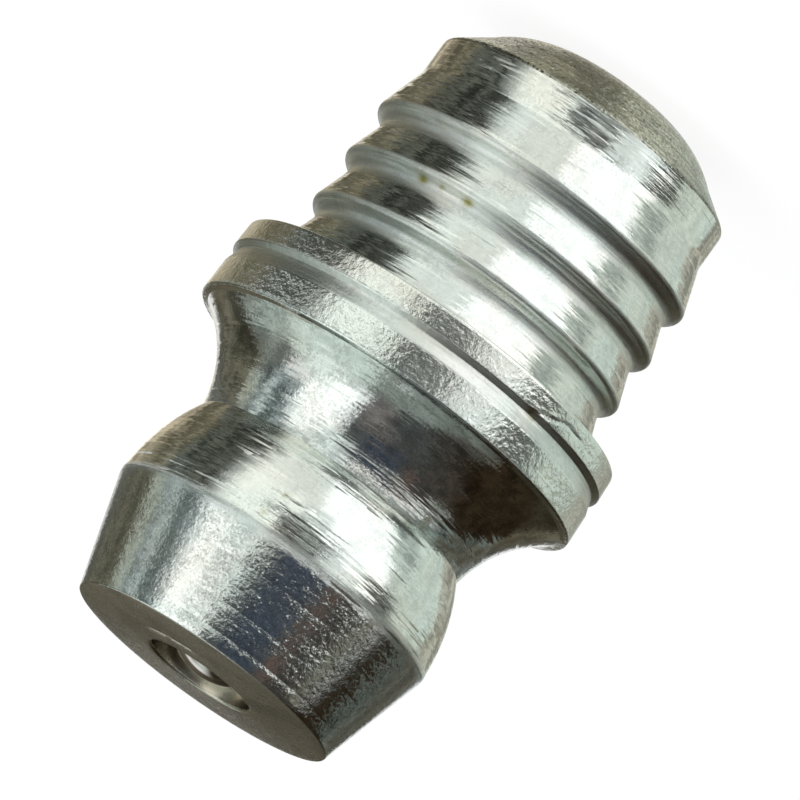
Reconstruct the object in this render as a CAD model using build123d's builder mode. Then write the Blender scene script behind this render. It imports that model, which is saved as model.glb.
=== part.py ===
"""A straight drive-in grease nipple: turned steel body, check ball and spring.

The nipple stands on its tail, +Z up towards the nose, with the origin at the
centre of the tail's flat ring. Lengths are millimetres and angles are degrees.
"""

from build123d import *

import os
from math import hypot, radians, sin, sqrt, tan

os.makedirs("parts", exist_ok=True)

# ---------------------------------------------------------------- driving sizes
# Tail: the thin skirt that is closed in over the spring after assembly
tail_ring_diameter = 2.80  # flat ring that the nipple stands on
tail_shoulder_diameter = 4.84  # where the closed-in dome meets the lead cone
tail_dome_height = 0.53
tail_dome_radius = 2.00
outlet_diameter = 1.70
lip_thickness = 0.50  # the closed-in lip, which the spring stands on

# Shank: lead cone, plain pilot and the barbs that grip the drilled hole
lead_height = 0.445
lead_corner_radius = 0.10
pilot_diameter = 6.00
pilot_length = 0.70
barb_count = 3
barb_pitch = 1.01
barb_lead = 0.965  # from the top of the pilot to the first ridge
barb_fall = 0.13  # axial length of each barb's steep side
barb_ridge_diameter = 6.60  # across the corners, before they are rounded
barb_root_diameter = 6.00
barb_ridge_radius = 0.12
barb_root_radius = 0.22
barb_steep_flat = 0.003  # the steep side keeps at least this much flat between its roundings
shank_runout = 0.90  # from the last root to the collar
shank_top_diameter = 6.68  # where the shank runs into the collar

# Collar: the stop that seats on the machine, with a rolled groove round it
collar_diameter = 7.86
collar_width = 1.435
collar_flare = 0.025  # the rim's radius is smaller by this at the seating side
collar_corner_radius = 0.04
groove_height = 0.465  # from the seating side to the groove
groove_steep = 0.09  # axial length of the groove's steep side
groove_slope = 0.27  # axial length of its gentle side
groove_depth = 0.115
ledge_rise = 0.025  # the narrow ledge between the rim and the neck's curve

# Neck and coupler head
flare_diameter = 7.54  # where the neck's curve leaves the ledge
neck_diameter = 5.464
neck_length = 1.68
neck_radius = 2.45
head_diameter = 6.50
head_back_length = 1.73
head_back_radius = 3.60
head_cone_length = 2.17
head_cone_angle = 15.8  # half angle
nose_edge_radius = 0.03
nose_rise = 0.09  # the nose face rises this much from its edge to the inlet
inlet_diameter = 2.10

# Check valve
ball_diameter = 2.50
ball_recess = 0.02  # the top of the ball lies this far below the nose
seat_angle = 60.0  # included angle of the conical seat
seat_clearance = 0.02
chamber_diameter = 3.00

# Spring: closed and ground ends, open turns between them
wire_diameter = 0.30
coil_diameter = 2.00  # to the middle of the wire
closed_turns = 1  # at each end
open_turns = 10
closed_gap = 0.02  # between neighbouring turns of a closed end
bend_swell = 0.01  # the wire is this much thicker where its pitch changes
spring_clearance = 0.02  # to the lip below and to the ball above

# ------------------------------------------------------ heights above the tail
pilot_z = tail_dome_height + lead_height
barbs_z = pilot_z + pilot_length
first_ridge_z = barbs_z + barb_lead
last_root_z = first_ridge_z + (barb_count - 1) * barb_pitch + barb_fall
collar_z = last_root_z + shank_runout
groove_z = collar_z + groove_height
collar_top_z = collar_z + collar_width
flare_z = collar_top_z + ledge_rise
neck_z = flare_z + neck_length
head_z = neck_z + head_back_length
nose_edge_z = head_z + head_cone_length
nose_z = nose_edge_z + nose_rise
nose_diameter = head_diameter - 2 * head_cone_length * tan(radians(head_cone_angle))


def reach(before, corner, after):
    """Returns how far a rounding of radius 1 reaches from its corner."""
    way_in = Vector(*corner) - Vector(*before)
    way_out = Vector(*after) - Vector(*corner)
    return tan(radians(way_in.get_angle(way_out)) / 2)


# ---------------------------------------------------------------- turned body
with BuildPart() as body:
    # Tail, lead cone and pilot
    with BuildSketch(Plane.XZ) as tail_profile:
        with BuildLine():
            RadiusArc(
                (tail_ring_diameter / 2, 0),
                (tail_shoulder_diameter / 2, tail_dome_height),
                -tail_dome_radius,
            )
            Polyline(
                (tail_shoulder_diameter / 2, tail_dome_height),
                (pilot_diameter / 2, pilot_z),
                (pilot_diameter / 2, barbs_z),
                (0, barbs_z),
                (0, 0),
                (tail_ring_diameter / 2, 0),
            )
        make_face()
        lead_corner = tail_profile.vertices().sort_by_distance((pilot_diameter / 2, pilot_z))[0]
        fillet(lead_corner, radius=lead_corner_radius)
    revolve(axis=Axis.Z)

    # Barbs: each rises gently to a rounded ridge and falls steeply to a rounded root
    ridges = [
        (barb_ridge_diameter / 2, first_ridge_z + index * barb_pitch) for index in range(barb_count)
    ]
    roots = [(barb_root_diameter / 2, ridge_z + barb_fall) for _, ridge_z in ridges]
    pilot_top = (pilot_diameter / 2, barbs_z)
    shank_top = (shank_top_diameter / 2, collar_z)
    with BuildSketch(Plane.XZ) as barb_profile:
        with BuildLine():
            Polyline(
                (0, barbs_z),
                pilot_top,
                *[corner for barb in zip(ridges, roots) for corner in barb],
                shank_top,
                (0, collar_z),
                close=True,
            )
        make_face()
        # A root and its ridge share the steep side, which limits their roundings
        steep_side = hypot((barb_ridge_diameter - barb_root_diameter) / 2, barb_fall)
        steep_round = steep_side - barb_steep_flat
        ridge_reaches = [
            reach(foot, ridge, root)
            for foot, ridge, root in zip([pilot_top, *roots], ridges, roots)
        ]
        root_reaches = [
            reach(ridge, root, top)
            for ridge, root, top in zip(ridges, roots, [*ridges[1:], shank_top])
        ]
        ridge_radii = [min(barb_ridge_radius, steep_round / 2 / far) for far in ridge_reaches]
        root_radii = [
            min(barb_root_radius, (steep_round - radius * far) / root_far)
            for radius, far, root_far in zip(ridge_radii, ridge_reaches, root_reaches)
        ]
        for corner, radius in zip(roots + ridges, root_radii + ridge_radii):
            fillet(barb_profile.vertices().sort_by_distance(corner)[0], radius=radius)
    revolve(axis=Axis.Z)

    # Collar, slightly flared towards the head, with the groove rolled round it
    rim_radius = collar_diameter / 2
    with BuildSketch(Plane.XZ) as collar_profile:
        with BuildLine():
            Polyline(
                (0, collar_z),
                (rim_radius - collar_flare, collar_z),
                (rim_radius, groove_z),
                (rim_radius - groove_depth, groove_z + groove_steep),
                (rim_radius - collar_flare, groove_z + groove_steep + groove_slope),
                (rim_radius, collar_top_z),
                (flare_diameter / 2, flare_z),
                (0, flare_z),
                close=True,
            )
        make_face()
        rim_corners = [
            collar_profile.vertices().sort_by_distance(corner)[0]
            for corner in (
                (rim_radius - collar_flare, collar_z),
                (rim_radius, groove_z),
                (rim_radius, collar_top_z),
            )
        ]
        fillet(rim_corners, radius=collar_corner_radius)
    revolve(axis=Axis.Z)

    # Neck and coupler head
    with BuildSketch(Plane.XZ) as head_profile:
        with BuildLine():
            RadiusArc((flare_diameter / 2, flare_z), (neck_diameter / 2, neck_z), neck_radius)
            RadiusArc(
                (neck_diameter / 2, neck_z), (head_diameter / 2, head_z), -head_back_radius
            )
            Polyline(
                (head_diameter / 2, head_z),
                (nose_diameter / 2, nose_edge_z),
                (inlet_diameter / 2, nose_z),
                (0, nose_z),
                (0, flare_z),
                (flare_diameter / 2, flare_z),
            )
        make_face()
        nose_edge = head_profile.vertices().sort_by_distance((nose_diameter / 2, nose_edge_z))[0]
        fillet(nose_edge, radius=nose_edge_radius)
    revolve(axis=Axis.Z)

    # Bore: outlet through the closed-in lip, spring chamber, ball seat and inlet
    ball_z = nose_z - ball_recess - ball_diameter / 2
    half_seat = radians(seat_angle / 2)
    seat_apex_z = ball_z + (ball_diameter / 2 + seat_clearance) / sin(half_seat)
    seat_top_z = seat_apex_z - inlet_diameter / 2 / tan(half_seat)
    seat_bottom_z = seat_apex_z - chamber_diameter / 2 / tan(half_seat)
    with BuildSketch(Plane.XZ):
        with BuildLine():
            Polyline(
                (0, 0),
                (outlet_diameter / 2, 0),
                (outlet_diameter / 2, lip_thickness),
                (chamber_diameter / 2, lip_thickness),
                (chamber_diameter / 2, seat_bottom_z),
                (inlet_diameter / 2, seat_top_z),
                (inlet_diameter / 2, nose_z),
                (0, nose_z),
                close=True,
            )
        make_face()
    revolve(axis=Axis.Z, mode=Mode.SUBTRACT)
body.part.label = "body"

# ------------------------------------------------------------------ check ball
with BuildPart() as check_ball:
    with Locations((0, 0, ball_z)):
        Sphere(ball_diameter / 2)
check_ball.part.label = "check_ball"

# ---------------------------------------------------------------------- spring
# The top turn cups the underside of the ball: the spring ends where the middle of
# its wire is one clearance off touching the ball. Both ends are ground flat.
wire_to_ball = (ball_diameter + wire_diameter) / 2 + spring_clearance
spring_top_z = ball_z - sqrt(wire_to_ball**2 - (coil_diameter / 2) ** 2)
spring_bottom_z = lip_thickness + spring_clearance
closed_pitch = wire_diameter + closed_gap
open_pitch = (spring_top_z - spring_bottom_z - 2 * closed_turns * closed_pitch) / open_turns
windings = [
    (closed_pitch, closed_turns),
    (open_pitch, open_turns),
    (closed_pitch, closed_turns),
]
with BuildPart() as spring:
    winding_z = spring_bottom_z
    for index, (pitch, turns) in enumerate(windings):
        if index:
            # The wire bends here from the pitch below to the next
            with Locations((coil_diameter / 2, 0, winding_z)):
                Sphere((wire_diameter + bend_swell) / 2)
        with BuildLine(Plane.XY.offset(winding_z)) as winding:
            Helix(pitch, pitch * turns, coil_diameter / 2)
        with BuildSketch(winding.line ^ 0):
            Circle(wire_diameter / 2)
        sweep(path=winding.line, is_frenet=True)
        winding_z += pitch * turns
    split(bisect_by=Plane.XY.offset(spring_bottom_z), keep=Keep.TOP)
    split(bisect_by=Plane.XY.offset(spring_top_z), keep=Keep.BOTTOM)
spring.part.label = "spring"

for piece in (body, check_ball, spring):
    export_step(piece.part, f"parts/{piece.part.label}.step")
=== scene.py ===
"""A straight drive-in grease nipple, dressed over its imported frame.

The nipple stands on its tail at the origin with its nose up. Sizes on the object are written in
millimetres and turned into metres where a mesh is made.
"""

import logging
from cmath import phase, rect
from dataclasses import dataclass, replace
from enum import Enum
from math import ceil, copysign, pi, radians, sqrt, tan

import bpy
import numpy as np
from mathutils import Matrix, Vector, noise

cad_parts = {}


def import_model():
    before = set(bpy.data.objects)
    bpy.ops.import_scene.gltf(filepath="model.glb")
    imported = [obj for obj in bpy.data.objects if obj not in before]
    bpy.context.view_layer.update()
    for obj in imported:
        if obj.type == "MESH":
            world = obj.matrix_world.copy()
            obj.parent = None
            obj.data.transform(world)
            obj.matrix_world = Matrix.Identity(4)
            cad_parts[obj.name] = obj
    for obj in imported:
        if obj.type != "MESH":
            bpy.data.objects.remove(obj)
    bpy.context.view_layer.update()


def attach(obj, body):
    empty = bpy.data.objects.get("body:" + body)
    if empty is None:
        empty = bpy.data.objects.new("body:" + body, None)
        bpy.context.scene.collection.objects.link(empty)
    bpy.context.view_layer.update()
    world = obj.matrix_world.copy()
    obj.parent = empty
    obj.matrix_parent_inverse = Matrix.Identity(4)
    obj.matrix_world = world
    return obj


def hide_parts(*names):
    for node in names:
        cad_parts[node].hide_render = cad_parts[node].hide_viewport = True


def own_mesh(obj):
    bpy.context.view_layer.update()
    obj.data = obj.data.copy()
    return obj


log = logging.getLogger("grease_nipple")

MM = 0.001
MICROMETRE = 1e-6

Pair = tuple[float, float]
Triple = tuple[float, float, float]
Colour = tuple[float, float, float, float]
Face = tuple[int, ...]
Owner = bpy.types.Material | bpy.types.World
Socket = bpy.types.NodeSocket


def colour(red: float, green: float, blue: float) -> Colour:
    """Returns a linear colour with full alpha."""
    return (red, green, blue, 1.0)


WHITE = colour(1.0, 1.0, 1.0)


# ---------- shader sheets
@dataclass(frozen=True)
class Cloud:
    """A noise pattern.

    Attributes:
        across: its spots in a millimetre across the nipple's axis.
        along: its spots in a millimetre along the axis.
        detail: octaves.
        rough: how strong the finer octaves are.
        ends: its values where a spot begins and where it is full.
    """

    across: float
    along: float
    detail: float
    rough: float
    ends: Pair = (0.0, 1.0)


class Sheet:
    """The node sheet of one material or world, with short calls for the nodes used here."""

    facet_rarity = 2.2  # the power that makes strongly leaning facets rare
    colour_mix_inputs = (0, 6, 7)  # where a Mix node takes its share and its two colours

    def __init__(self, owner: Owner) -> None:
        """Empties the node tree of the material or world that owns this sheet."""
        owner.use_nodes = True
        self.owner = owner
        self.tree = owner.node_tree
        self.tree.nodes.clear()

    def put(self, socket: Socket, value: object) -> None:
        """Links another node's output to an input, or sets the input to a plain value."""
        if isinstance(value, Socket):
            self.tree.links.new(value, socket)
        else:
            socket.default_value = value

    def node(self, kind: str, *values: object, **settings: object) -> bpy.types.Node:
        """Adds a node whose inputs are given in their order.

        Args:
            kind: the node's type, without its ShaderNode prefix.
            *values: what goes into its first inputs.
            **settings: property names and values.

        Returns:
            The new node.
        """
        made = self.tree.nodes.new("ShaderNode" + kind)
        for name, value in settings.items():
            setattr(made, name, value)
        for socket, value in zip(made.inputs, values):
            self.put(socket, value)
        return made

    def feed(self, kind: str, inputs: dict[str, object], **settings: object) -> bpy.types.Node:
        """Adds a node whose inputs are given by their names, and returns it."""
        made = self.node(kind, **settings)
        for name, value in inputs.items():
            self.put(made.inputs[name], value)
        return made

    def math(self, operation: str, *values: object, clamp: bool = False) -> Socket:
        """Returns the output of a Math node on one to three values."""
        return self.node("Math", *values, operation=operation, use_clamp=clamp).outputs[0]

    def vector(self, operation: str, *values: object) -> Socket:
        """Returns the vector output of a Vector Math node on one or two values."""
        return self.node("VectorMath", *values, operation=operation).outputs["Vector"]

    def scaled(self, vector: object, size: object) -> Socket:
        """Returns a vector multiplied by a number."""
        made = self.feed("VectorMath", {"Vector": vector, "Scale": size}, operation="SCALE")
        return made.outputs["Vector"]

    def blend(self, share: object, first: object, second: object) -> Socket:
        """Returns a colour mixed from first to second by share."""
        made = self.node("Mix", data_type="RGBA", clamp_factor=True)
        for index, value in zip(self.colour_mix_inputs, (share, first, second)):
            self.put(made.inputs[index], value)
        return made.outputs[2]

    def fade(self, value: object, ends: Pair) -> Socket:
        """Returns 0 below the first end and 1 above the second, with a smooth step between."""
        made = self.node("MapRange", value, *ends, 0.0, 1.0, interpolation_type="SMOOTHSTEP")
        return made.outputs[0]

    def attribute(self, name: str) -> Socket:
        """Returns a mesh attribute's number."""
        return self.node("Attribute", attribute_name=name).outputs["Fac"]

    def millimetres(self) -> Socket:
        """Returns the shaded point's place on the object, in millimetres."""
        place = self.node("TexCoord").outputs["Object"]
        return self.vector("MULTIPLY", place, (1 / MM, 1 / MM, 1 / MM))

    def cloud(self, place: Socket, pattern: Cloud) -> Socket:
        """Returns a noise pattern's value at a place, about 0.5 on average."""
        density = (pattern.across, pattern.across, pattern.along)
        inputs = {
            "Vector": self.vector("MULTIPLY", place, density),
            "Scale": 1.0,
            "Detail": pattern.detail,
            "Roughness": pattern.rough,
        }
        return self.feed("TexNoise", inputs).outputs["Fac"]

    def spots(self, place: Socket, pattern: Cloud) -> Socket:
        """Returns how full the spots of a noise pattern are at a place."""
        return self.fade(self.cloud(place, pattern), pattern.ends)

    def facets(self, place: Socket, cells: Triple, reach: Triple) -> Socket:
        """Returns a lean for each cell of a pattern: mostly slight, now and then strong.

        Args:
            place: where to read the pattern, in millimetres.
            cells: its cells in a millimetre along each axis.
            reach: how far they lean along each axis beside one another.
        """
        place = self.vector("MULTIPLY", place, cells)
        cell = self.feed("TexVoronoi", {"Vector": place, "Scale": 1.0})
        chance = self.feed("TexWhiteNoise", {"Vector": cell.outputs["Position"]})
        size = self.math("POWER", chance.outputs["Value"], self.facet_rarity)
        way = self.vector("SUBTRACT", cell.outputs["Color"], (0.5, 0.5, 0.5))
        return self.scaled(self.vector("MULTIPLY", way, reach), size)

    def surface(self, shader: bpy.types.Node) -> Owner:
        """Puts a shader on the owner's surface, and returns the owner."""
        kind = "OutputWorld" if isinstance(self.owner, bpy.types.World) else "OutputMaterial"
        self.node(kind, shader.outputs[0])
        return self.owner

    def metal(self, base: object, roughness: object, height: object, lean: object) -> Owner:
        """Makes the sheet's material a metal, and returns it.

        Args:
            base: its colour.
            roughness: how dull it is.
            height: how far it stands out, in micrometres.
            lean: the vector that its facets lean by, as a share of the normal.
        """
        normal = self.vector("ADD", self.node("NewGeometry").outputs["Normal"], lean)
        normal = self.vector("NORMALIZE", normal)
        bump = {"Normal": normal, "Strength": 1.0, "Distance": MICROMETRE, "Height": height}
        normal = self.feed("Bump", bump).outputs[0]
        look = {"Metallic": 1.0, "Base Color": base, "Roughness": roughness, "Normal": normal}
        return self.surface(self.feed("BsdfPrincipled", look))

    def mix(self, share: object, first: bpy.types.Node, second: bpy.types.Node) -> Owner:
        """Puts a mix from one shader to another on the surface, and returns the owner."""
        return self.surface(self.node("MixShader", share, first.outputs[0], second.outputs[0]))

    def seen(self) -> Socket:
        """Returns 1 for rays from the camera, a mirror or glass, and 0 for the rest."""
        path = self.node("LightPath")
        seen = self.math("MAXIMUM", path.outputs["Is Camera Ray"], path.outputs["Is Glossy Ray"])
        return self.math("MAXIMUM", seen, path.outputs["Is Transmission Ray"])


# ---------- finishes
SOIL_COLOUR = colour(0.34, 0.32, 0.11)
TOOL_BLACK = colour(0.13, 0.13, 0.10)


@dataclass(frozen=True)
class ZincPlate:
    """Bright zinc plate over turned steel: clumped dull specks, and turning marks under it.

    Attributes:
        name: the material's name.
        cool: colour of most of the plate.
        warm: colour of its thinner patches.
        bare: colour of bare steel.
        roughness: of the plate between its specks.
        dulling: extra roughness of the specks and turning marks.
        darkening: how far the specks darken towards bare steel, from 0 to 1.
        stain_darkening: how far the stains round them do.
        line_darkening: how far the turning marks do.
        crystal_tilt: how far the plate's crystals lean, as a share of the normal.
        line_tilt: how far the turned lines lean.
        grain_um: height of the specks, in micrometres.
        mark_um: height of the turning marks.
        chatter_um: height of the waves that the cutting tool left.
        peel_um: height of the orange peel on rolled faces.
        sparse: strength of the specks between the patches where they are many.
        grain, clumps: patterns of the specks and of those patches.
        stains, marks, chatter: patterns of the stains, turning marks and the tool's waves.
        peel, tone: patterns of the orange peel and of the thinner patches.
        crystals: crystals in a millimetre along each axis.
        lines: turned lines in a millimetre along each axis.
        line_reach: how far they lean along each axis beside one another.
    """

    name: str = "zinc_plate"
    cool: Colour = colour(0.755, 0.81, 0.775)
    warm: Colour = colour(0.77, 0.785, 0.735)
    bare: Colour = colour(0.20, 0.21, 0.19)
    roughness: float = 0.08
    dulling: float = 0.09
    darkening: float = 0.45
    stain_darkening: float = 0.38
    line_darkening: float = 0.10
    crystal_tilt: float = 0.13
    line_tilt: float = 0.65
    grain_um: float = 2.0
    mark_um: float = 5.0
    chatter_um: float = 6.0
    peel_um: float = 14.0
    grain: Cloud = Cloud(19.0, 19.0, 3.0, 0.65, (0.50, 0.60))
    clumps: Cloud = Cloud(2.0, 2.0, 3.0, 0.6, (0.40, 0.62))
    sparse: float = 0.5
    stains: Cloud = Cloud(5.0, 5.0, 4.0, 0.72, (0.47, 0.60))
    marks: Cloud = Cloud(0.4, 17.0, 3.0, 0.62, (0.51, 0.60))
    chatter: Cloud = Cloud(2.5, 14.0, 2.0, 0.5)
    peel: Cloud = Cloud(9.0, 9.0, 3.0, 0.55)
    tone: Cloud = Cloud(0.7, 0.7, 2.0, 0.5, (0.42, 0.62))
    crystals: Triple = (32.0, 32.0, 32.0)
    lines: Triple = (1.5, 1.5, 28.0)
    line_reach: Triple = (0.5, 0.5, 1.0)

    def material(self) -> bpy.types.Material:
        """Returns the material, made from this finish's values."""
        sheet = Sheet(bpy.data.materials.new(self.name))
        place = sheet.millimetres()
        turned = sheet.attribute("turned")
        grain = sheet.cloud(place, self.grain)
        marks = sheet.cloud(place, self.marks)
        clump = sheet.math("ADD", sheet.spots(place, self.clumps), self.sparse)
        clump = sheet.math("MULTIPLY", clump, sheet.attribute("speckled"))
        specks = sheet.math("MULTIPLY", sheet.fade(grain, self.grain.ends), clump)
        stains = sheet.math("MULTIPLY", sheet.spots(place, self.stains), clump, clamp=True)
        lines = sheet.math("MULTIPLY", sheet.fade(marks, self.marks.ends), turned)

        worn = sheet.math("MULTIPLY", specks, self.darkening, clamp=True)
        for share, darkening in ((stains, self.stain_darkening), (lines, self.line_darkening)):
            worn = sheet.math("MAXIMUM", worn, sheet.math("MULTIPLY", share, darkening))
        plate = sheet.blend(sheet.spots(place, self.tone), self.cool, self.warm)
        plate = sheet.blend(worn, plate, self.bare)
        base = sheet.blend(sheet.attribute("soil"), plate, SOIL_COLOUR)

        dull = sheet.math("MAXIMUM", specks, lines, clamp=True)
        rough = sheet.math("MULTIPLY_ADD", dull, self.dulling, self.roughness)
        rough = sheet.math("ADD", rough, sheet.attribute("blunt"))

        height = sheet.math("MULTIPLY", grain, sheet.math("MULTIPLY", clump, self.grain_um))
        for wave, share, size in (
            (marks, turned, self.mark_um),
            (sheet.cloud(place, self.chatter), turned, self.chatter_um),
            (sheet.cloud(place, self.peel), sheet.attribute("rolled"), self.peel_um),
        ):
            height = sheet.math("MULTIPLY_ADD", wave, sheet.math("MULTIPLY", share, size), height)
        crystals = sheet.facets(place, self.crystals, (1.0, 1.0, 1.0))
        lay = sheet.facets(place, self.lines, self.line_reach)
        lean = sheet.vector(
            "ADD",
            sheet.scaled(crystals, sheet.math("MULTIPLY", clump, self.crystal_tilt)),
            sheet.scaled(lay, sheet.math("MULTIPLY", turned, self.line_tilt)),
        )
        return sheet.metal(base, rough, height, lean)


@dataclass(frozen=True)
class DullCut:
    """A face left dull by the cutting or closing tool.

    Attributes:
        name: the material's name.
        base: its colour.
        roughness: how dull it is.
        grain_um: height of its grain, in micrometres.
        spots: grains in a millimetre.
        lined: how much the tool's lines lighten and darken it, from 0 to 1.
        shade: how dark its dark patches are beside the rest, from 0 to 1.
        crystal_tilt: how far its torn grains lean, as a share of the normal.
        roughness_spread: how much duller its highest grains are than its lowest.
        line_um: height of the tool's lines where they are strongest, in micrometres.
        grain, tone, lines: patterns of its grain, its dark patches and the tool's lines.
        torn: torn grains in a millimetre along each axis.
    """

    name: str
    base: Colour
    roughness: float
    grain_um: float
    spots: float = 10.0
    lined: float = 0.0
    shade: float = 0.78
    crystal_tilt: float = 0.0
    roughness_spread: float = 0.12
    line_um: float = 8.0
    grain: Cloud = Cloud(1.0, 1.0, 3.0, 0.6, (0.4, 0.7))
    tone: Cloud = Cloud(1.3, 1.3, 2.0, 0.5, (0.4, 0.65))
    lines: Cloud = Cloud(0.6, 16.0, 3.0, 0.62, (0.4, 0.7))
    torn: Triple = (24.0, 24.0, 30.0)

    def material(self) -> bpy.types.Material:
        """Returns the material, made from this finish's values."""
        sheet = Sheet(bpy.data.materials.new(self.name))
        place = sheet.millimetres()
        grain = sheet.cloud(place, replace(self.grain, across=self.spots, along=self.spots))
        lines = sheet.cloud(place, self.lines)
        dark = colour(*(part * self.shade for part in self.base[:3]))
        patched = sheet.blend(sheet.spots(place, self.tone), self.base, dark)
        worn = sheet.fade(grain, self.grain.ends)
        worn = sheet.math("ADD", worn, sheet.fade(lines, self.lines.ends))
        worn = sheet.math("MULTIPLY", worn, self.lined / 2)
        base = sheet.blend(worn, patched, TOOL_BLACK)

        rough = sheet.math("MULTIPLY", grain, self.roughness_spread)
        rough = sheet.math("ADD", rough, self.roughness - self.roughness_spread / 2)
        height = sheet.math("MULTIPLY", grain, self.grain_um)
        height = sheet.math("MULTIPLY_ADD", lines, self.line_um * self.lined, height)
        lean = sheet.facets(place, self.torn, (self.crystal_tilt,) * 3)
        return sheet.metal(base, rough, height, lean)


class Skin(Enum):
    """Which finish a stretch of the body has; the value is its material slot."""

    PLATE = 0
    TAIL = 1
    NOSE = 2
    BORE = 3


BODY_FINISHES = {
    Skin.PLATE: ZincPlate(),
    Skin.TAIL: DullCut(
        "closed_in_tail",
        colour(0.55, 0.56, 0.475),
        roughness=0.17,
        grain_um=13.0,
        spots=12.0,
        lined=0.95,
        shade=0.52,
        crystal_tilt=1.2,
    ),
    Skin.NOSE: DullCut(
        "nose_face",
        colour(0.60, 0.585, 0.50),
        roughness=0.28,
        grain_um=2.5,
        spots=9.0,
        lined=0.2,
        shade=0.75,
        crystal_tilt=0.12,
    ),
    Skin.BORE: DullCut("drilled_bore", colour(0.66, 0.62, 0.52), roughness=0.20, grain_um=2.0),
}
BALL_STEEL = DullCut("polished_ball", colour(0.72, 0.70, 0.66), 0.10, grain_um=0.3, spots=6.0)
SPRING_STEEL = DullCut("spring_wire", colour(0.50, 0.48, 0.45), 0.30, grain_um=1.0, spots=8.0)


# ---------- objects
def placed(name: str, data: bpy.types.ID) -> bpy.types.Object:
    """Returns a new object of the scene that has this data."""
    made = bpy.data.objects.new(name, data)
    bpy.context.collection.objects.link(made)
    return made


def mesh_object(
    name: str, points: np.ndarray, faces: list[Face], smooth: bool = True
) -> bpy.types.Object:
    """Returns a new object of the scene with a mesh, whose points are given in millimetres."""
    mesh = bpy.data.meshes.new(name)
    mesh.from_pydata((points * MM).tolist(), [], faces)
    mesh.polygons.foreach_set("use_smooth", [smooth] * len(faces))
    mesh.update()
    return placed(name, mesh)


def around_axis(r: np.ndarray, z: np.ndarray, turn: np.ndarray) -> np.ndarray:
    """Returns points from their distance to the axis, height and radians from the front."""
    r, z, turn = np.broadcast_arrays(r, z, turn)
    return np.stack([r * np.sin(turn), -r * np.cos(turn), z], axis=-1).reshape(-1, 3)


def grid_faces(
    rows: int, columns: int, first: int = 0, join_rows: bool = False, join_columns: bool = True
) -> list[Face]:
    """Returns the faces of a grid of points that are numbered along its rows.

    Args:
        rows: rows of points.
        columns: points in a row.
        first: number of the first point.
        join_rows: whether the last row leads back to the first.
        join_columns: whether the last point of each row leads back to its first.
    """
    faces = []
    for row in range(rows if join_rows else rows - 1):
        near = first + row * columns
        far = first + (row + 1) % rows * columns
        for column in range(columns if join_columns else columns - 1):
            other = (column + 1) % columns
            faces.append((near + column, near + other, far + other, far + column))
    return faces


# ---------- turned outline
FINEST_STEP = 0.012  # between two rings of a rounding, in millimetres
ROUNDING_STEP = 0.3  # between two rings of a larger rounding, as a share of its radius


@dataclass(frozen=True)
class Corner:
    """A corner of a turned outline, or a ring of points on the way to one, in millimetres.

    Attributes:
        r: distance from the axis.
        z: height above the tail.
        rounding: radius that this corner is rounded with.
        bow: radius of the arc that leads here, positive where it bulges to the right of travel.
        step: longest way between two rings on the stretch that leads here.
        skin: finish of the stretch that leads here.
        turned: strength of the turning marks on it, from 0 to 1.
        speckled: strength of the specks on it.
        rolled: strength of the orange peel on it.
        blunt: extra roughness, where the tool could not cut clean.
        worn: extra roughness of its rounding.
        pressed: how far closing the inlet pressed it down.
    """

    r: float
    z: float
    rounding: float = 0.0
    bow: float = 0.0
    step: float = 0.12
    skin: Skin = Skin.PLATE
    turned: float = 0.5
    speckled: float = 0.35
    rolled: float = 0.0
    blunt: float = 0.0
    worn: float = 0.0
    pressed: float = 0.0


def stretch(start: complex, end: complex, bow: float, step: float) -> list[complex]:
    """Divides a stretch of the outline.

    Args:
        start: its start, with the radius as real part and the height as imaginary part.
        end: its end.
        bow: radius of its arc, positive where it bulges to the right of travel; 0 if straight.
        step: longest way between two points.

    Returns:
        Points after start, up to end.
    """
    chord = abs(end - start)
    if not bow:
        count = max(1, ceil(chord / step))
        return [start + (end - start) * index / count for index in range(1, count + 1)]
    size = max(abs(bow), chord / 2)
    rise = copysign(sqrt(max(0.0, size * size - chord * chord / 4)), bow)
    centre = (start + end) / 2 + (end - start) / chord * 1j * rise
    first = phase(start - centre)
    sweep = (phase(end - centre) - first + pi) % (2 * pi) - pi
    count = max(2, ceil(size * abs(sweep) / step))
    return [centre + rect(size, first + sweep * index / count) for index in range(1, count + 1)]


def outline_rings(corners: list[Corner]) -> list[Corner]:
    """Follows a closed outline.

    Args:
        corners: the outline's corners in order; the last leads back to the first.

    Returns:
        Its rings, from the way to the first corner.
    """
    points = [complex(corner.r, corner.z) for corner in corners]

    def leaving(index: int, other: int) -> complex:
        """Returns where the rounding of one corner ends on the way to another."""
        here = points[index]
        angle = phase((points[index - 1] - here) / (points[(index + 1) % len(points)] - here))
        setback = corners[index].rounding / tan(abs(angle) / 2)
        way = points[other] - here
        return here + way * (setback / abs(way))

    rings: list[Corner] = []
    for index, corner in enumerate(corners):
        end = leaving(index, index - 1)
        way = stretch(leaving(index - 1, index), end, corner.bow, corner.step)
        rings += [replace(corner, r=point.real, z=point.imag) for point in way]
        if corner.rounding:
            after = (index + 1) % len(corners)
            way_in = points[index] - points[index - 1]
            way_out = points[after] - points[index]
            bow = copysign(corner.rounding, (way_in.conjugate() * way_out).imag)
            step = max(FINEST_STEP, corner.rounding * ROUNDING_STEP)
            blunt = corner.blunt + corner.worn
            way = stretch(end, leaving(index, after), bow, step)
            rings += [replace(corner, r=point.real, z=point.imag, blunt=blunt) for point in way]
    return rings


# ---------- marks on the body
MARK_REACH = 2.4  # half widths and half heights from a mark's middle to where it has faded


class Harm(Enum):
    """What a mark is: a hollow in the metal, soil on it, or a stretch with deeper tool marks."""

    DENT = "dent"
    SOIL = "soil"
    SCORED = "scored"


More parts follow.
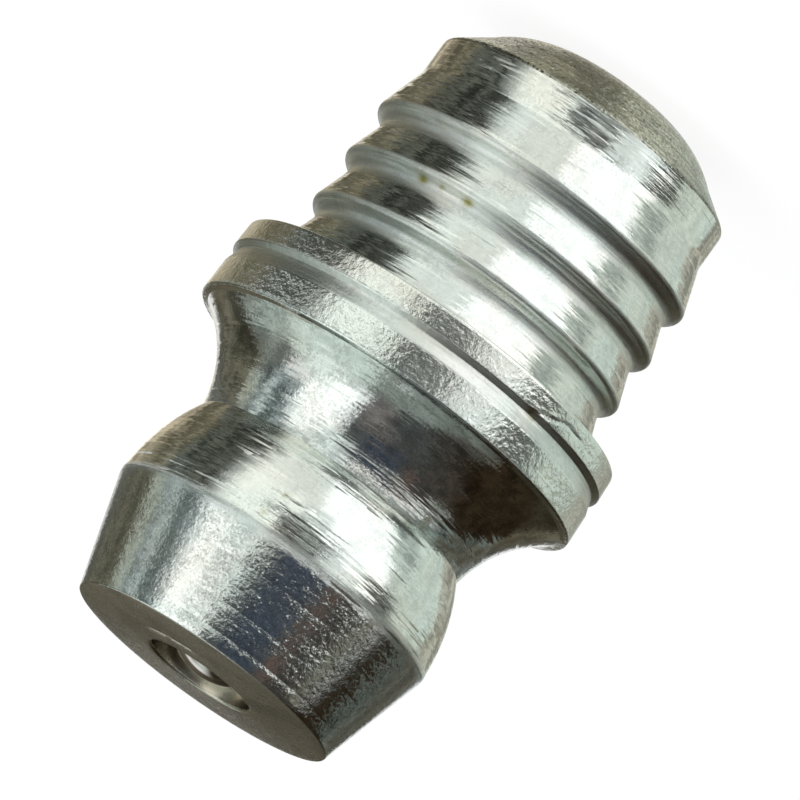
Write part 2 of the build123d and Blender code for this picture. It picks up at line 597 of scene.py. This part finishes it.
@dataclass(frozen=True)
class Mark:
    """A blemish on the body, in millimetres.

    Attributes:
        kind: what it is.
        turn: degrees about the axis from the front, positive to the right of someone facing it.
        z: height of its middle.
        half_width: half its length round the body.
        half_height: half its height.
        depth: depth of a hollow, or strength of the rest from 0 to 1.
        lean: how much its line climbs for each millimetre of width.
    """

    kind: Harm
    turn: float
    z: float
    half_width: float
    half_height: float
    depth: float
    lean: float = 0.0

    def at(self, turns: np.ndarray, r: np.ndarray, z: np.ndarray) -> np.ndarray:
        """Returns the mark's strength, up to its depth, from degrees, radius and height."""
        across = ((turns - self.turn + 180.0) % 360.0 - 180.0) * pi / 180.0 * r
        up = z - self.z - self.lean * across
        square = (across / self.half_width) ** 2 + (up / self.half_height) ** 2
        near = np.abs(across) <= MARK_REACH * self.half_width
        near &= np.abs(up) <= MARK_REACH * self.half_height
        return np.where(near, self.depth * np.exp(-square), 0.0)


MARKS = (
    Mark(Harm.SCORED, -26.0, 8.46, 2.4, 0.17, 1.0),
    Mark(Harm.SCORED, 36.0, 8.55, 1.6, 0.22, 0.5),
    Mark(Harm.SCORED, 40.0, 9.40, 1.3, 0.45, 0.9),
    Mark(Harm.SCORED, 23.0, 9.58, 0.5, 0.30, 0.6),
    Mark(Harm.SCORED, 40.0, 7.55, 2.0, 0.25, 0.3),
    Mark(Harm.SCORED, 2.0, 1.33, 0.8, 0.50, 1.0),
    Mark(Harm.SCORED, -30.0, 1.33, 0.8, 0.50, 1.0),
    Mark(Harm.DENT, -38.0, 6.03, 0.36, 0.026, 0.026, 0.32),
    Mark(Harm.DENT, -47.0, 5.93, 0.30, 0.026, 0.022, -0.05),
    Mark(Harm.DENT, -38.0, 5.97, 0.32, 0.035, -0.008, 0.32),
    Mark(Harm.DENT, -31.5, 6.16, 0.13, 0.035, 0.030),
    Mark(Harm.DENT, -43.5, 6.36, 0.11, 0.030, 0.012),
    Mark(Harm.DENT, 15.5, 6.44, 0.11, 0.022, 0.010, 0.10),
    Mark(Harm.DENT, 14.0, 11.28, 0.95, 0.012, 0.0018),
    Mark(Harm.DENT, -17.0, 11.28, 0.45, 0.012, 0.0016),
    Mark(Harm.DENT, 2.0, 12.00, 1.15, 0.012, 0.0020),
    Mark(Harm.DENT, -6.0, 12.47, 1.90, 0.012, 0.0024),
    Mark(Harm.DENT, 38.0, 12.47, 0.50, 0.012, 0.0018),
    Mark(Harm.SOIL, -31.5, 6.20, 0.06, 0.05, 0.9),
    Mark(Harm.SOIL, -33.0, 6.28, 0.08, 0.03, 0.7),
    Mark(Harm.SOIL, 18.5, 3.74, 0.10, 0.05, 1.3),
    Mark(Harm.SOIL, 37.0, 3.76, 0.11, 0.06, 1.3),
    Mark(Harm.SOIL, 29.0, 3.74, 0.05, 0.04, 0.9),
    Mark(Harm.SOIL, 68.5, 2.47, 0.06, 0.05, 1.0),
    Mark(Harm.SOIL, 12.5, 1.93, 0.03, 0.03, 1.0),
    Mark(Harm.SOIL, 11.0, 9.90, 0.05, 0.04, 0.7),
    Mark(Harm.SOIL, 13.5, 10.34, 0.06, 0.04, 0.7),
)


# ---------- the nipple
NECK_LOOK = {"step": 0.05, "turned": 0.28, "speckled": 0.6, "rolled": 0.15}
HEAD_LOOK = {"step": 0.1, "turned": 0.4, "worn": 0.15}
CONE_LOOK = {"step": 0.14, "turned": 0.1, "speckled": 0.8, "rolled": 0.45}
NOISE_ROW = (0.5, 0.5)  # where the depths of scored lines are read from the noise


@dataclass
class NippleBody:
    """The turned and plated body, in millimetres.

    Its radii (_r), heights (_z), roundings and other sizes are named as in the part's source.

    Attributes:
        segments: sides of each ring.
        sharp_angle: edges that turn by more than this many degrees stay sharp.
        score_depth: depth of the tool's marks where the body is scored.
        score_lines: how many of them there are in a millimetre.
        pressed_turn: degrees about the axis to the middle of the ring pressed into the nose.
        pressed_reach: degrees either way that it fades over.
        scratch_heights: heights of the scratches that run round the cone.
        scratch_width: width of those scratches.
    """

    segments: int = 320
    sharp_angle: float = 24.0
    score_depth: float = 0.009
    score_lines: float = 31.0
    pressed_turn: float = 35.0
    pressed_reach: float = 24.0
    outlet_rounding: float = 0.03
    tail_ring_r: float = 1.40
    tail_shoulder_r: float = 2.42
    tail_shoulder_z: float = 0.53
    tail_dome_radius: float = 2.00
    outlet_r: float = 0.85
    lip_z: float = 0.50
    pilot_r: float = 3.00
    pilot_z: float = 0.975
    lead_rounding: float = 0.10
    barbs_z: float = 1.675
    barb_count: int = 3
    barb_pitch: float = 1.01
    first_ridge_z: float = 2.64
    barb_fall: float = 0.13
    ridge_r: float = 3.30
    root_r: float = 3.00
    ridge_rounding: float = 0.12
    root_rounding: float = 0.22
    shank_top_r: float = 3.34
    shank_rounding: float = 0.03
    collar_z: float = 5.69
    collar_r: float = 3.93
    collar_flare: float = 0.025
    rim_rounding: float = 0.04
    groove_z: float = 6.155
    groove_steep: float = 0.09
    groove_slope: float = 0.27
    groove_depth: float = 0.115
    groove_rounding: float = 0.02
    collar_top_z: float = 7.125
    flare_r: float = 3.77
    flare_z: float = 7.15
    neck_r: float = 2.732
    neck_z: float = 8.83
    neck_radius: float = 2.45
    head_r: float = 3.25
    head_z: float = 10.56
    head_back_radius: float = 3.60
    head_rounding: float = 0.35
    nose_edge_r: float = 2.636
    nose_edge_z: float = 12.73
    nose_rounding: float = 0.03
    nose_z: float = 12.82
    inlet_r: float = 1.05
    inlet_rounding: float = 0.05
    ring_r: float = 1.50
    ring_width: float = 0.06
    ring_depth: float = 0.014
    scratch_heights: tuple[float, ...] = (11.28, 12.00, 12.47)
    scratch_width: float = 0.020
    seat_top_z: float = 12.271
    seat_bottom_z: float = 11.492
    chamber_r: float = 1.50
    marks: tuple[Mark, ...] = MARKS

    def corners(self) -> list[Corner]:
        """Returns the outline's corners, from the outlet round the outside and down the bore."""
        rim = self.collar_r
        under = rim - self.collar_flare
        barbs = []
        for index in range(self.barb_count):
            ridge_z = self.first_ridge_z + index * self.barb_pitch
            root_z = ridge_z + self.barb_fall
            barbs.append(Corner(self.ridge_r, ridge_z, self.ridge_rounding, turned=0.7, worn=0.3))
            barbs.append(Corner(self.root_r, root_z, self.root_rounding, step=0.05, blunt=0.3))
        groove_r = rim - self.groove_depth
        groove_top = self.groove_z + self.groove_steep
        slope_top = groove_top + self.groove_slope
        dome = {"step": 0.08, "skin": Skin.TAIL}
        groove = {"rounding": self.groove_rounding, "blunt": 0.25}
        collar = {"rounding": self.rim_rounding, "turned": 0.1}
        return [
            Corner(self.outlet_r, 0.0, self.outlet_rounding, step=0.25, skin=Skin.TAIL),
            Corner(self.tail_ring_r, 0.0, step=0.1, skin=Skin.TAIL),
            Corner(self.tail_shoulder_r, self.tail_shoulder_z, bow=self.tail_dome_radius, **dome),
            Corner(self.pilot_r, self.pilot_z, self.lead_rounding, skin=Skin.TAIL),
            Corner(self.pilot_r, self.barbs_z, turned=0.25),
            *barbs,
            Corner(self.shank_top_r, self.collar_z, self.shank_rounding, turned=0.7),
            Corner(under, self.collar_z, step=0.1, rolled=0.6, **collar),
            Corner(rim, self.groove_z, step=0.03, rolled=1.0, worn=0.2, **collar),
            Corner(groove_r, groove_top, step=0.03, rolled=0.5, **groove),
            Corner(under, slope_top, step=0.045, rolled=0.3, **groove),
            Corner(rim, self.collar_top_z, step=0.045, rolled=1.0, **collar),
            Corner(self.flare_r, self.flare_z, step=0.06, turned=0.2, rolled=0.4),
            Corner(self.neck_r, self.neck_z, bow=-self.neck_radius, **NECK_LOOK),
            Corner(
                self.head_r, self.head_z, self.head_rounding, self.head_back_radius, **HEAD_LOOK
            ),
            *self.scratched_cone(),
            Corner(self.nose_edge_r, self.nose_edge_z, self.nose_rounding, **CONE_LOOK),
            *self.pressed_ring(),
            Corner(self.inlet_r, self.nose_z, self.inlet_rounding, step=0.14, skin=Skin.NOSE),
            Corner(self.inlet_r, self.seat_top_z, step=0.14, skin=Skin.BORE),
            Corner(self.chamber_r, self.seat_bottom_z, step=0.3, skin=Skin.BORE),
            Corner(self.chamber_r, self.lip_z, step=4.0, skin=Skin.BORE),
            Corner(self.outlet_r, self.lip_z, step=0.7, skin=Skin.BORE),
        ]

    def scratched_cone(self) -> list[Corner]:
        """Returns corners along the cone, close together where scratches run round it."""
        slope = (self.nose_edge_r - self.head_r) / (self.nose_edge_z - self.head_z)
        half = self.scratch_width / 2
        heights = [
            height + offset for height in self.scratch_heights for offset in (-half, 0.0, half)
        ]
        return [Corner(self.head_r + slope * (z - self.head_z), z, **CONE_LOOK) for z in heights]

    def pressed_ring(self) -> list[Corner]:
        """Returns the corners of the shallow ring that closing the inlet left on the nose."""
        half = self.ring_width / 2
        corners = []
        for offset, depth in ((half, 0.0), (0.0, self.ring_depth), (-half, 0.0)):
            r = self.ring_r + offset
            share = (self.nose_edge_r - r) / (self.nose_edge_r - self.inlet_r)
            z = self.nose_edge_z + (self.nose_z - self.nose_edge_z) * share
            corners.append(Corner(r, z, step=0.14, skin=Skin.NOSE, pressed=depth))
        return corners

    def marked(self, rings: list[Corner], turns: np.ndarray) -> dict[str, np.ndarray]:
        """Works the marks into the rings.

        Args:
            rings: the outline's rings.
            turns: degrees about the axis to each point of a ring.

        Returns:
            The radius, turned and soil of each point of each ring.
        """
        r = np.array([[ring.r] for ring in rings])
        z = np.array([[ring.z] for ring in rings])
        outside = np.array([[ring.skin is not Skin.BORE] for ring in rings])
        lines = [Vector((ring.z * self.score_lines, *NOISE_ROW)) for ring in rings]
        cut = self.score_depth * np.array([[noise.noise(line)] for line in lines])
        radius = np.repeat(r, self.segments, axis=1)
        turned = np.array([[ring.turned] * self.segments for ring in rings])
        soil = np.zeros_like(radius)
        for mark in self.marks:
            strength = mark.at(turns, r, z) * outside
            if mark.kind is Harm.DENT:
                radius -= strength
            elif mark.kind is Harm.SOIL:
                soil = np.maximum(soil, strength)
            else:
                turned = np.maximum(turned, strength)
                radius -= strength * cut
        return {"radius": radius, "turned": turned, "soil": soil}

    def build(self) -> bpy.types.Object:
        """Returns the body as a mesh that stands for its CAD node."""
        rings = outline_rings(self.corners())
        turns = 360.0 * np.arange(self.segments) / self.segments
        layers = self.marked(rings, turns)
        radius = layers.pop("radius")
        pressed = np.exp(-(((turns - self.pressed_turn) / self.pressed_reach) ** 2))
        heights = np.array([ring.z - ring.pressed * pressed for ring in rings])
        points = around_axis(radius, heights, np.radians(turns))
        faces = grid_faces(len(rings), self.segments, join_rows=True)
        piece = mesh_object("nipple_body", points, faces)

        mesh = piece.data
        slots = np.roll([ring.skin.value for ring in rings], -1)
        mesh.polygons.foreach_set("material_index", np.repeat(slots, self.segments))
        for name in ("speckled", "rolled", "blunt"):
            values = [getattr(ring, name) for ring in rings]
            layers[name] = np.repeat(values, self.segments)
        for name, values in layers.items():
            layer = mesh.attributes.new(name, "FLOAT", "POINT")
            layer.data.foreach_set("value", values.ravel().astype(np.float32))
        mesh.set_sharp_from_angle(angle=radians(self.sharp_angle))
        mesh.update()
        for skin in Skin:
            mesh.materials.append(BODY_FINISHES[skin].material())
        return piece


@dataclass
class CheckValve:
    """The check ball and its spring, in millimetres.

    Attributes:
        start: radians from the front to where the ball's sides and the spring start.
        closed_turns: the spring's closed turns at each end.
    """

    start: float = pi / 2
    ball_r: float = 1.25
    ball_z: float = 11.55
    ball_sides: int = 128
    ball_rows: int = 80
    wire_r: float = 0.15
    coil_r: float = 1.00
    foot_z: float = 0.52
    top_z: float = 10.5418
    closed_pitch: float = 0.32
    closed_turns: int = 1
    open_turns: int = 10
    steps_a_turn: int = 40
    wire_sides: int = 14

    def build_ball(self) -> bpy.types.Object:
        """Returns the ball as a smooth mesh with its poles on the nipple's axis."""
        polar = pi * np.arange(self.ball_rows + 1)[:, None] / self.ball_rows
        turn = 2 * pi * np.arange(self.ball_sides) / self.ball_sides + self.start
        z = self.ball_z - self.ball_r * np.cos(polar)
        points = around_axis(self.ball_r * np.sin(polar), z, turn)
        points = points[self.ball_sides - 1 : 1 - self.ball_sides]  # one point at each pole
        last = len(points) - 1
        top = last - self.ball_sides
        faces = grid_faces(self.ball_rows - 1, self.ball_sides, first=1)
        for side in range(self.ball_sides):
            other = (side + 1) % self.ball_sides
            faces.append((0, 1 + other, 1 + side))
            faces.append((top + side, top + other, last))
        piece = mesh_object("valve_ball", points, faces)
        piece.data.materials.append(BALL_STEEL.material())
        return piece

    def build_spring(self) -> bpy.types.Object:
        """Returns the spring as a wound tube with closed, ground ends."""
        closed = self.closed_turns
        span = self.top_z - self.foot_z
        open_pitch = (span - 2 * closed * self.closed_pitch) / self.open_turns
        total = self.open_turns + 2 * closed
        count = total * self.steps_a_turn
        wound = np.linspace(0.0, total, count + 1)[:, None]
        height = self.foot_z + self.closed_pitch * np.minimum(wound, closed)
        height += open_pitch * np.clip(wound - closed, 0.0, self.open_turns)
        height += self.closed_pitch * np.maximum(wound - closed - self.open_turns, 0.0)
        around = 2 * pi * np.arange(self.wire_sides) / self.wire_sides
        r = self.coil_r + self.wire_r * np.cos(around)
        z = np.clip(height + self.wire_r * np.sin(around), self.foot_z, self.top_z)
        points = around_axis(r, z, 2 * pi * wound + self.start)
        faces = [
            (near, far, far_next, near_next)
            for near, near_next, far_next, far in grid_faces(count + 1, self.wire_sides)
        ]
        faces.append(tuple(range(self.wire_sides)))
        faces.append(tuple(reversed(range(count * self.wire_sides, len(points)))))
        piece = mesh_object("valve_spring", points, faces)
        piece.data.materials.append(SPRING_STEEL.material())
        return piece


# ---------- studio
@dataclass(frozen=True)
class Panel:
    """A soft-edged panel of the tent round the nipple, seen only in its reflections.

    Attributes:
        name: what the panel is for.
        bearing: left and right end in degrees from the front, positive to the right.
        rise: foot and top in degrees above the horizon, seen from the nipple's middle.
        glow: its colour times its brightness.
        soft: share of its width and height that the edges fade over.
        mottle: how unevenly it is lit, from 0 to 1.
    """

    name: str
    bearing: Pair
    rise: Pair
    glow: Triple
    soft: Pair = (0.1, 0.1)
    mottle: float = 0.4


# Each panel hangs a little in front of those above it in this list
PANELS = (
    Panel("shell", (-166, 166), (-8, 8), (0.17, 0.18, 0.17), (0.02, 0.1)),
    Panel("crown", (-180, 180), (64, 90), (0.26, 0.285, 0.265), (0.0, 0.15), 0.2),
    Panel("left_crown", (-200, -70), (50, 84), (0.16, 0.18, 0.16), (0.15, 0.3)),
    Panel("right_crown", (30, 200), (44, 82), (0.72, 0.80, 0.75), (0.15, 0.08), 0.15),
    Panel("front_roof", (-84, 24), (12, 74), (0.070, 0.073, 0.074), (0.08, 0.1), 0.5),
    Panel("front_gap", (-16, 26), (36, 74), (0.165, 0.150, 0.147), (0.3, 0.2), 0.5),
    Panel("blue_slip", (-36, 8), (14, 42), (0.060, 0.072, 0.098), (0.25, 0.25), 0.5),
    Panel("red_slip", (-48, -33), (14, 36), (0.115, 0.08, 0.07), (0.3, 0.25), 0.5),
    Panel("front_low", (-66, 6), (-1, 11), (0.38, 0.41, 0.40), (0.2, 0.25)),
    Panel("roof_shade", (-120, -34), (14, 72), (0.055, 0.048, 0.042), (0.35, 0.1), 0.6),
    Panel("black_flag", (-174, -66), (4, 62), (0.028, 0.019, 0.011), (0.25, 0.12), 0.6),
    Panel("low_teal", (-166, -52), (-1, 12), (0.13, 0.165, 0.15), (0.2, 0.35)),
    Panel("left_teal", (-136, -58), (-6, 6), (0.23, 0.27, 0.25), (0.15, 0.2)),
    Panel("left_low", (-176, -84), (-4, 9), (0.11, 0.105, 0.085), (0.1, 0.3)),
    Panel("left_strip", (-77, -67), (-2, 24), (0.18, 0.18, 0.145), (0.3, 0.15)),
    Panel("right_teal", (56, 112), (-8, 42), (0.27, 0.31, 0.315), (0.25, 0.25), 0.8),
    Panel("teal_dark", (70, 82), (-4, 30), (0.10, 0.12, 0.115), (0.35, 0.2), 0.5),
    Panel("teal_light", (82, 92), (-4, 30), (0.46, 0.50, 0.49), (0.35, 0.2), 0.5),
    Panel("right_brown", (92, 170), (-8, 42), (0.13, 0.12, 0.09), (0.22, 0.25), 0.6),
    Panel("right_dark", (84, 126), (26, 50), (0.13, 0.145, 0.135), (0.2, 0.3), 0.5),
    Panel("right_black", (104, 158), (14, 40), (0.050, 0.045, 0.032), (0.35, 0.35), 0.5),
    Panel("right_strip", (96, 112), (-2, 22), (0.50, 0.53, 0.46), (0.3, 0.2)),
    Panel("key_shoulder", (0, 66), (-4, 25), (0.82, 0.88, 0.86), (0.34, 0.12)),
    Panel("key_foot", (37, 60), (12, 28), (1.32, 1.33, 1.31), (0.3, 0.2), 0.0),
    Panel("key", (26, 66), (23, 60), (1.45, 1.47, 1.45), (0.16, 0.12), 0.0),
    Panel("key_wing", (50, 90), (46, 66), (0.95, 1.01, 0.97), (0.25, 0.25), 0.1),
    Panel("rear_card", (150, 222), (3, 38), (0.115, 0.10, 0.07), (0.1, 0.15)),
    Panel("rear_flag", (176, 226), (12, 70), (0.04, 0.033, 0.022), (0.3, 0.15)),
    Panel("rear_light", (122, 176), (40, 68), (0.42, 0.41, 0.36), (0.3, 0.3), 0.3),
    Panel("crown_shade", (98, 162), (26, 54), (0.35, 0.39, 0.36), (0.25, 0.3), 0.5),
    Panel("left_under", (-180, -40), (-90, -6), (0.68, 0.75, 0.69), (0.06, 0.02), 0.15),
    Panel("left_rim", (-152, -62), (-14, -7), (0.46, 0.46, 0.38), (0.1, 0.2)),
    Panel("left_under_rear", (-172, -128), (-34, -6), (0.42, 0.41, 0.35), (0.15, 0.15)),
    Panel("left_under_dull", (-98, -70), (-56, -32), (0.42, 0.47, 0.44), (0.3, 0.3), 0.5),
    Panel("tail_right", (-182, -112), (-90, -44), (1.0, 1.04, 0.94), (0.2, 0.2)),
    Panel("right_under", (-40, 78), (-90, -6), (0.93, 0.96, 0.92), (0.18, 0.02), 0.1),
    Panel("right_under_top", (-32, 68), (-40, -6), (1.16, 1.18, 1.11), (0.15, 0.2), 0.05),
    Panel("tail_left", (66, 204), (-90, -32), (0.46, 0.44, 0.35), (0.15, 0.15)),
    Panel("right_under_dark", (49, 156), (-62, -6), (0.082, 0.086, 0.073), (0.23, 0.14), 0.75),
    Panel("right_under_brown", (104, 180), (-34, -6), (0.19, 0.17, 0.12), (0.15, 0.15), 0.5),
    Panel("right_under_tan", (134, 176), (-22, -6), (0.48, 0.41, 0.30), (0.3, 0.2)),
    Panel("right_rim", (160, 184), (-40, 0), (0.85, 0.80, 0.68), (0.3, 0.2)),
    Panel("foot", (6, 60), (-84, -66), (0.50, 0.56, 0.52), (0.25, 0.3)),
    Panel("bounce", (-72, 4), (-90, -19), (1.42, 1.42, 1.42), (0.11, 0.03), 0.0),
    Panel("bounce_edge", (-50, -14), (-20, -6), (0.95, 0.98, 0.96), (0.15, 0.05), 0.1),
    Panel("left_under_strip", (-86, -46), (-20, -6), (0.11, 0.117, 0.107), (0.3, 0.08), 0.6),
    Panel("front_under", (-18, 14), (-38, -19), (0.80, 0.83, 0.81), (0.25, 0.2), 0.2),
    Panel("front_skirt", (-38, 40), (-25, -18.5), (0.14, 0.15, 0.14), (0.25, 0.25), 0.6),
    Panel("front_strip", (-20, 20), (-20, -6), (0.085, 0.09, 0.087), (0.16, 0.25), 0.8),
)


@dataclass
class Studio:
    """The floor, the panels, the lamp, the world and the camera, in millimetres.

    Attributes:
        middle_z: height on the nipple that the camera and panels look at.
        panel_distance: how far the first panel hangs.
        panel_gap: how far each panel hangs in front of the one before.
        panel_columns: divisions across a panel.
        panel_rows: divisions up a panel.
        blotch: pattern that the panels are mottled with.
        camera_height: degrees that the camera looks down from.
        camera_roll: degrees that it is rolled by.
        camera_clip: nearest and farthest distance that it sees, in metres.
        frame_width: width of the view at the middle.
        picture_side: side of the picture, in pixels.
        object_left: how far left of the picture's centre the middle shows, in pixels.
        object_up: how far above it, in pixels.
        floor_reach: from the axis to each side of the floor.
        floor_matt: the floor's colour for the light that it throws back.
        floor_shaded: the part of its white that a shadow takes away.
        floor_glow: the part that stays.
        world_tint: colour of the even light.
        lamp_power: the lamp's power, in watts.
    """

    middle_z: float = 6.70
    panel_distance: float = 105.0
    panel_gap: float = 0.8
    panel_columns: int = 36
    panel_rows: int = 24
    blotch: Cloud = Cloud(0.09, 0.18, 4.0, 0.7, (0.42, 0.58))
    camera_distance: float = 255.6
    camera_height: float = 11.61
    camera_roll: float = -144.44
    camera_clip: Pair = (0.005, 10.0)
    frame_width: float = 14.1024
    picture_side: int = 800
    object_left: float = 2.1
    object_up: float = 1.6
    sensor: float = 36.0
    floor_reach: float = 1500.0
    floor_matt: Colour = colour(0.8, 0.8, 0.8)
    floor_shaded: Colour = colour(0.16, 0.16, 0.16)
    floor_glow: float = 0.9
    world_tint: Colour = colour(0.92, 0.93, 0.95)
    world_strength: float = 0.75
    lamp_place: Triple = (90.0, -110.0, 160.0)
    lamp_side: float = 120.0
    lamp_power: float = 0.08

    def build_camera(self) -> None:
        """Makes the camera and sets it as the scene's."""
        data = bpy.data.cameras.new("view")
        data.sensor_width = self.sensor
        data.lens = self.sensor * self.camera_distance / self.frame_width
        data.clip_start, data.clip_end = self.camera_clip
        camera = placed("view", data)
        turn = Matrix.Rotation(radians(90.0 - self.camera_height), 4, "X")
        turn @= Matrix.Rotation(radians(self.camera_roll), 4, "Z")
        pixel = self.frame_width / self.picture_side
        shift = Vector((self.object_left * pixel, -self.object_up * pixel, self.camera_distance))
        place = Vector((0.0, 0.0, self.middle_z)) + turn @ shift
        camera.matrix_world = Matrix.Translation(place * MM) @ turn
        bpy.context.scene.camera = camera

    def build_floor(self) -> None:
        """Makes the pale floor, which keeps the nipple's shadow on white."""
        side = self.floor_reach
        points = np.array([(-side, -side, 0), (side, -side, 0), (side, side, 0), (-side, side, 0)])
        floor = mesh_object("floor", points, [(0, 1, 2, 3)], smooth=False)
        sheet = Sheet(bpy.data.materials.new("floor"))
        matt = sheet.node("BsdfDiffuse", self.floor_matt)
        shaded = sheet.node("BsdfDiffuse", self.floor_shaded)
        glow = sheet.node("Emission", WHITE, self.floor_glow)
        white = sheet.node("AddShader", shaded.outputs[0], glow.outputs[0])
        floor.data.materials.append(sheet.mix(sheet.seen(), matt, white))
        floor.visible_glossy = False

    def build_world(self) -> None:
        """Makes an even pale world, white where it is looked at or mirrored."""
        world = bpy.data.worlds.new("studio")
        bpy.context.scene.world = world
        sheet = Sheet(world)
        even = sheet.node("Background", self.world_tint, self.world_strength)
        sheet.mix(sheet.seen(), even, sheet.node("Background", WHITE, 1.0))

    def build_panel(self, panel: Panel, place: int) -> None:
        """Makes one panel of the tent.

        Args:
            panel: its place and brightness.
            place: how many panels hang behind it.
        """
        reach = self.panel_distance - self.panel_gap * place
        across = np.arange(self.panel_columns + 1) / self.panel_columns
        up = np.arange(self.panel_rows + 1)[:, None] / self.panel_rows
        bearing = np.radians(panel.bearing[0] + (panel.bearing[1] - panel.bearing[0]) * across)
        rise = np.radians(panel.rise[0] + (panel.rise[1] - panel.rise[0]) * up)
        height = self.middle_z + reach * np.sin(rise)
        points = around_axis(reach * np.cos(rise), height, bearing)
        faces = grid_faces(self.panel_rows + 1, self.panel_columns + 1, join_columns=False)
        card = mesh_object(panel.name, points, faces, smooth=False)
        shares = np.stack(np.broadcast_arrays(across, up), axis=-1).reshape(-1, 2)
        layer = card.data.uv_layers.new(name="panel")
        layer.uv.foreach_set("vector", shares[np.ravel(faces)].ravel())
        card.data.materials.append(self.panel_material(panel))
        for rays in ("camera", "diffuse", "shadow", "transmission"):
            setattr(card, "visible_" + rays, False)

    def panel_material(self, panel: Panel) -> bpy.types.Material:
        """Returns a glow that fades to clear at the panel's edges."""
        sheet = Sheet(bpy.data.materials.new(panel.name))
        parts = sheet.node("SeparateXYZ", sheet.node("TexCoord").outputs["UV"])
        cover: object = 1.0
        for part, soft in zip(parts.outputs, panel.soft):
            if soft:
                middle = sheet.math("ABSOLUTE", sheet.math("SUBTRACT", part, 0.5))
                edge = sheet.fade(sheet.math("SUBTRACT", 0.5, middle), (0.0, soft))
                cover = sheet.math("MULTIPLY", cover, edge)
        blotch = sheet.spots(sheet.millimetres(), self.blotch)
        strength = sheet.math("MULTIPLY_ADD", blotch, 2.0 * panel.mottle, 1.0 - panel.mottle)
        glow = sheet.node("Emission", colour(*panel.glow), strength)
        return sheet.mix(cover, sheet.node("BsdfTransparent"), glow)

    def build_lamp(self) -> None:
        """Makes the soft lamp that gives the floor its shadow."""
        data = bpy.data.lights.new("soft_lamp", "AREA")
        data.size = self.lamp_side * MM
        data.energy = self.lamp_power
        lamp = placed("soft_lamp", data)
        place = Vector(self.lamp_place) * MM
        lamp.location = place
        aim = Vector((0.0, 0.0, self.middle_z)) * MM
        lamp.rotation_euler = (place - aim).to_track_quat("Z", "Y").to_euler()
        lamp.visible_glossy = False

    def build(self) -> None:
        """Makes the whole studio."""
        bpy.context.scene.view_settings.view_transform = "Standard"
        self.build_world()
        self.build_floor()
        for place, panel in enumerate(PANELS):
            self.build_panel(panel, place)
        self.build_lamp()
        self.build_camera()


def main() -> None:
    """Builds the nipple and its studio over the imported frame."""
    logging.basicConfig(level=logging.INFO, format="%(name)s: %(message)s")
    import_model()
    Studio().build()

    body = NippleBody().build()
    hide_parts("body")
    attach(body, "nipple")

    valve = CheckValve()
    ball = valve.build_ball()
    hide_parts("check_ball")
    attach(ball, "ball")

    spring = valve.build_spring()
    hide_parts("spring")
    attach(spring, "nipple")
    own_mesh(spring)

    for piece in (body, ball, spring):
        log.info("%s: %d faces", piece.name, len(piece.data.polygons))


if __name__ == "__main__":
    main()
